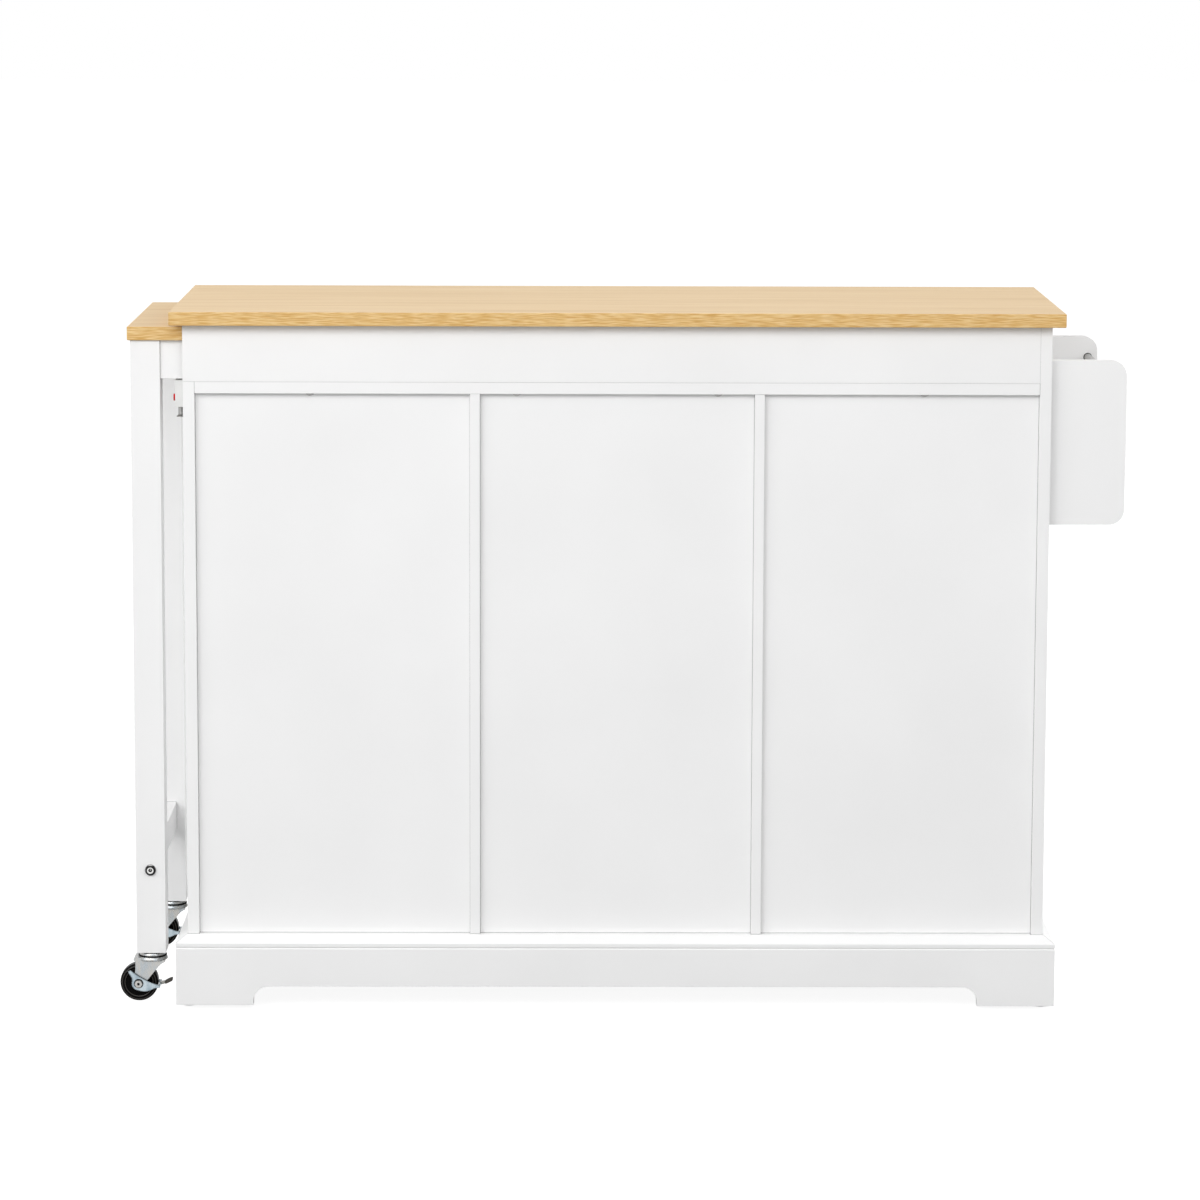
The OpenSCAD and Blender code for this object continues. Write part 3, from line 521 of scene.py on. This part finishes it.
def shade_collar_mesh(head, outward):
    """Black cap round a bolt head, thicker below than above, and the liner of its hex socket; both paint
    shade.
    """
    cap = lathe(SHADE_COLLAR_SECTION, 64)
    liner = lathe(SOCKET_SHADE_SECTION, HEX_SIDES)
    for vert in cap.verts:
        vert.co.y += COLLAR_DROP * outward * min(1.0, vert.co.z / COLLAR_DROP_AT)
    joined = bpy.data.meshes.new("liner")
    liner.to_mesh(joined)
    liner.free()
    cap.from_mesh(joined)
    bpy.data.meshes.remove(joined)
    turn = Matrix.Rotation(math.radians(-90.0 * outward), 3, "X")
    for vert in cap.verts:
        vert.co = turn @ vert.co + head
    bmesh.ops.recalc_face_normals(cap, faces=cap.faces)
    return cap


# Collars and socket liners on both bolt heads: painted shade and dark reflection
bolt_middle = middle("leg_bolts")
for where, outward, leg in (("back", 1, "leg_back"), ("front", -1, "leg_front")):
    leg_low, leg_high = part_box(leg)
    face = leg_high.y if outward > 0 else leg_low.y
    head = Vector((bolt_middle.x, face, bolt_middle.z))
    new_piece(f"bolt_shade_collar_{where}", shade_collar_mesh(head, outward), shade_collar_black, "table")


CAP_RADIUS = 17.35 * MM
SEAL_THICK, SEAL_TALL = 1.3 * MM, 2.0 * MM
CAP_GAP = 7.0 * MM
NUT_RADIUS = 5.3 * MM
# Black ring round each axle nut and black disc on its face: painted shade
NUT_SHADE_AT, NUT_SHADE_WIDE, NUT_SHADE_HALF = 16.31 * MM, 0.9 * MM, 0.2 * MM
SINK_AT, SINK_RADIUS, SINK_HALF = 18.4 * MM, 1.7 * MM, 0.08 * MM
RIDGES, RIDGE_REACH = (18.5 * MM, 22.1 * MM), 0.3 * MM
for where in ("back", "front"):
    wheel_node = f"caster_{where}_wheel"
    hub = middle(wheel_node)
    wheel = new_piece(f"wheel_{where}", lathe(wheel_profile(), 96, hub, "Y"), finishes["black_tyre"],
                      f"caster_{where}_roller")
    # Ridge faces take the lighter black as painted glint rings
    wheel.data.materials.append(ridge_glint_black)
    for face in wheel.data.polygons:
        radius = math.hypot(face.center.x - hub.x, face.center.z - hub.z)
        if any(abs(radius - ridge) < RIDGE_REACH for ridge in RIDGES):
            face.material_index = 1
    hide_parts(wheel_node)
    swivel = middle(f"leg_{where}")
    plate_top = (swivel.x, swivel.y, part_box(f"leg_{where}")[0].z - CAP_GAP)
    seal_section = band(CAP_RADIUS, CAP_RADIUS + SEAL_THICK, 0.0, SEAL_TALL)
    new_piece(f"swivel_seal_{where}", lathe(seal_section, 72, plate_top), seal_and_shade_black,
              f"caster_{where}")
    # Painted shade: a black ring round each axle nut and a black disc for its hole
    for side, outward in (("outer", 1), ("inner", -1)):
        foot = hub + Vector((0.0, outward * NUT_SHADE_AT, 0.0))
        nut_shade_section = band(NUT_RADIUS, NUT_RADIUS + NUT_SHADE_WIDE, -NUT_SHADE_HALF, NUT_SHADE_HALF)
        new_piece(f"nut_shade_ring_{where}_{side}", lathe(nut_shade_section, 48, foot, "Y"), seal_and_shade_black,
                  f"caster_{where}")
        sink = hub + Vector((0.0, outward * SINK_AT, 0.0))
        hole_shade_section = [
            (0.0, -SINK_HALF), (SINK_RADIUS, -SINK_HALF), (SINK_RADIUS, SINK_HALF), (0.0, SINK_HALF),
        ]
        new_piece(f"nut_hole_shade_{where}_{side}", lathe(hole_shade_section, 32, sink, "Y"), seal_and_shade_black,
                  f"caster_{where}")
    new_piece(f"lever_tip_{where}", sleeve_mesh(hub, TIP_SECTIONS), tip_rubber,
              f"caster_{where}_brake", rounding=0.7 * MM, segments=3)
    new_piece(f"lever_arm_{where}", sleeve_mesh(hub, ARM_SECTIONS), arm_steel,
              f"caster_{where}_brake", rounding=0.4 * MM)


# Rack: black rings painting shade and dark reflection where the rods meet the end plates

rods_low, rods_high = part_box("rack_rods")
rod_radius = (rods_high.x - rods_low.x) / 2
ROD_SHADE_WIDE, ROD_SHADE_THICK = 0.8 * MM, 0.7 * MM
rod_shade_section = band(rod_radius, rod_radius + ROD_SHADE_WIDE, 0.0, ROD_SHADE_THICK)
inner_faces = {"back": (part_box("rack_plate_back")[0].y, -1), "front": (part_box("rack_plate_front")[1].y, 1)}
# Painted shade: a black ring round each rod end at the plates
for where, (face, inward) in inner_faces.items():
    for level, height in (("towel", rods_high.z - rod_radius), ("guard", rods_low.z + rod_radius)):
        low_end = face - (ROD_SHADE_THICK if inward < 0 else 0.0)
        rod_shade_at = (middle("rack_rods").x, low_end, height)
        new_piece(f"{level}_rod_shade_ring_{where}", lathe(rod_shade_section, 48, rod_shade_at, "Y"),
                  seal_and_shade_black, "cabinet")


# Camera at the photograph's viewpoint, behind the island

camera_data = bpy.data.cameras.new("camera")
camera = bpy.data.objects.new("camera", camera_data)
bpy.context.scene.collection.objects.link(camera)
bpy.context.scene.camera = camera
# Focal length and width of the photograph in its pixels, and the sensor in millimetres
FOCAL_PIXELS, PHOTO_PIXELS = 4382.0, 1200.0
SENSOR_WIDTH = 36.0
LENS_SHIFT = -0.08
VIEW_END = 60.0
camera_data.sensor_fit = "HORIZONTAL"
camera_data.sensor_width = SENSOR_WIDTH
camera_data.lens = FOCAL_PIXELS * SENSOR_WIDTH / PHOTO_PIXELS
camera_data.shift_y = LENS_SHIFT
camera_data.clip_end = VIEW_END
camera_data.dof.use_dof = False
CAMERA_AT = Vector((0.0641, 5.7984, 1.4337))
YAW, PITCH, ROLL = math.radians(-0.40), math.radians(7.80), math.radians(0.18)
forward = Vector((math.sin(YAW) * math.cos(PITCH), -math.cos(YAW) * math.cos(PITCH), -math.sin(PITCH)))
right = Vector((-math.cos(YAW), -math.sin(YAW), 0.0))
up = right.cross(forward)
rolled_right = math.cos(ROLL) * right + math.sin(ROLL) * up
rolled_up = math.cos(ROLL) * up - math.sin(ROLL) * right
camera.matrix_world = Matrix((
    (rolled_right.x, rolled_up.x, -forward.x, CAMERA_AT.x),
    (rolled_right.y, rolled_up.y, -forward.y, CAMERA_AT.y),
    (rolled_right.z, rolled_up.z, -forward.z, CAMERA_AT.z),
    (0.0, 0.0, 0.0, 1.0),
))


# Floor, world and lamps

FLOOR_HALF = 30.0
FLOOR_GREY = (0.30, 0.30, 0.30, 1.0)
FLOOR_GLOW = 0.91
WORLD_WHITE = (1.0, 1.0, 1.0, 1.0)
# Strength of the world as light, and as a direct look or a reflection shows it
WORLD_LIGHT, WORLD_SEEN = 0.46, 1.0
LAMPS_AIM = Vector((0.0, 0.0, 0.5))


def seen_directly(tree):
    """1 for what the camera, a reflection or a clear material sees directly."""
    path = tree.nodes.new("ShaderNodeLightPath")
    first = tree.nodes.new("ShaderNodeMath")
    first.operation = "MAXIMUM"
    second = tree.nodes.new("ShaderNodeMath")
    second.operation = "MAXIMUM"
    tree.links.new(path.outputs["Is Camera Ray"], first.inputs[0])
    tree.links.new(path.outputs["Is Glossy Ray"], first.inputs[1])
    tree.links.new(first.outputs[0], second.inputs[0])
    tree.links.new(path.outputs["Is Transmission Ray"], second.inputs[1])
    return second.outputs[0]


def floor_material():
    """Grey floor for the light it sends back; seen directly it glows and keeps soft shadows."""
    material = bpy.data.materials.new("studio_floor")
    material.use_nodes = True
    tree = material.node_tree
    tree.nodes.remove(tree.nodes["Principled BSDF"])
    out = tree.nodes["Material Output"]
    plain = tree.nodes.new("ShaderNodeBsdfDiffuse")
    plain.inputs["Color"].default_value = FLOOR_GREY
    shadow_catcher = tree.nodes.new("ShaderNodeBsdfDiffuse")
    shadow_catcher.inputs["Color"].default_value = FLOOR_GREY
    glow = tree.nodes.new("ShaderNodeEmission")
    glow.inputs["Strength"].default_value = FLOOR_GLOW
    pale = tree.nodes.new("ShaderNodeAddShader")
    tree.links.new(shadow_catcher.outputs[0], pale.inputs[0])
    tree.links.new(glow.outputs[0], pale.inputs[1])
    choose = tree.nodes.new("ShaderNodeMixShader")
    tree.links.new(seen_directly(tree), choose.inputs[0])
    tree.links.new(plain.outputs[0], choose.inputs[1])
    tree.links.new(pale.outputs[0], choose.inputs[2])
    tree.links.new(choose.outputs[0], out.inputs["Surface"])
    return material


def studio():
    """Floor and world."""
    mesh = bmesh.new()
    bmesh.ops.create_grid(mesh, x_segments=8, y_segments=8, size=FLOOR_HALF)
    ground_mesh = bpy.data.meshes.new("studio_floor")
    mesh.to_mesh(ground_mesh)
    mesh.free()
    ground = bpy.data.objects.new("studio_floor", ground_mesh)
    bpy.context.scene.collection.objects.link(ground)
    ground_mesh.materials.append(floor_material())

    world = bpy.data.worlds.new("studio")
    bpy.context.scene.world = world
    world.use_nodes = True
    tree = world.node_tree
    background = tree.nodes["Background"]
    background.inputs["Color"].default_value = WORLD_WHITE
    strength = tree.nodes.new("ShaderNodeMix")
    strength.data_type = "FLOAT"
    tree.links.new(seen_directly(tree), strength.inputs[0])
    strength.inputs[2].default_value = WORLD_LIGHT
    strength.inputs[3].default_value = WORLD_SEEN
    tree.links.new(strength.outputs[0], background.inputs["Strength"])


def softbox(name, at, size, power, mirrored=True):
    """Rectangular lamp aimed at the middle of the island; sizes in metres, power in watts.

    Mirrored lamps show in reflections.
    """
    light = bpy.data.lights.new(name, "AREA")
    light.shape = "RECTANGLE"
    light.size, light.size_y = size
    light.energy = power
    lamp = bpy.data.objects.new(name, light)
    bpy.context.scene.collection.objects.link(lamp)
    lamp.location = at
    lamp.visible_glossy = mirrored
    direction = LAMPS_AIM - Vector(at)
    lamp.rotation_mode = "QUATERNION"
    lamp.rotation_quaternion = direction.to_track_quat("-Z", "Y")


studio()
softbox("key", (4.4, 4.4, 3.4), (5.5, 3.5), 188.0)
softbox("fill", (-4.6, 4.8, 3.0), (5.5, 3.5), 75.0)
softbox("high_back", (0.55, 3.6, 2.9), (3.5, 1.6), 56.0)
softbox("front_fill", (-1.5, -5.0, 1.6), (4.0, 2.0), 152.0, mirrored=False)
softbox("table_side", (6.0, -0.8, 2.2), (3.0, 3.0), 80.0, mirrored=False)
softbox("rack_side", (-6.0, -0.8, 2.2), (3.0, 3.0), 112.0, mirrored=False)

bpy.context.scene.view_settings.view_transform = "Standard"
